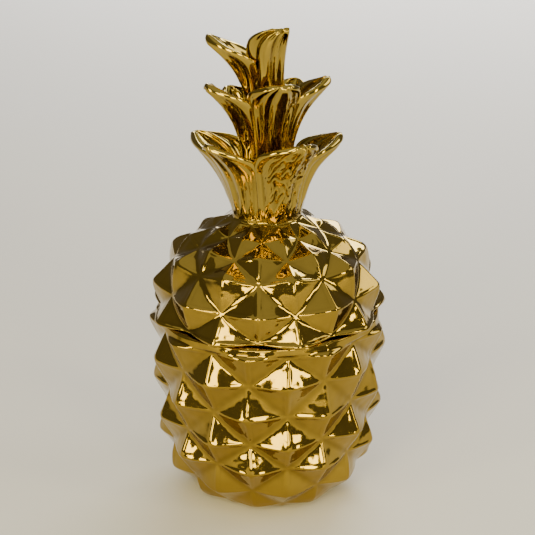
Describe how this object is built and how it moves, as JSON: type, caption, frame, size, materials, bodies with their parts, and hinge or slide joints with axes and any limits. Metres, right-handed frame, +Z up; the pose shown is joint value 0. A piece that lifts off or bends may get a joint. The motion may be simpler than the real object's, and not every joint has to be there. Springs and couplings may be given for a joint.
{
  "type": "pineapple-shaped lidded jar",
  "caption": "Pineapple-shaped ceramic jar with a gold lustre glaze, covered in staggered pointed scales, with a domed lift-off lid whose handle is a tiered crown of leaves.",
  "frame": {"origin": "centre of the flat underside of the jar, on the surface that it stands on", "axes": "+Z up along the axis of the jar, -Y towards the viewer of the picture"},
  "size_m": [0.1036, 0.1024, 0.2086],
  "materials": {
    "gold_glaze": "mirror-bright gold lustre over a smooth glaze"
  },
  "bodies": {
    "root": {"jar": "gold_glaze", "lid": "gold_glaze"}
  },
  "joints": []
}
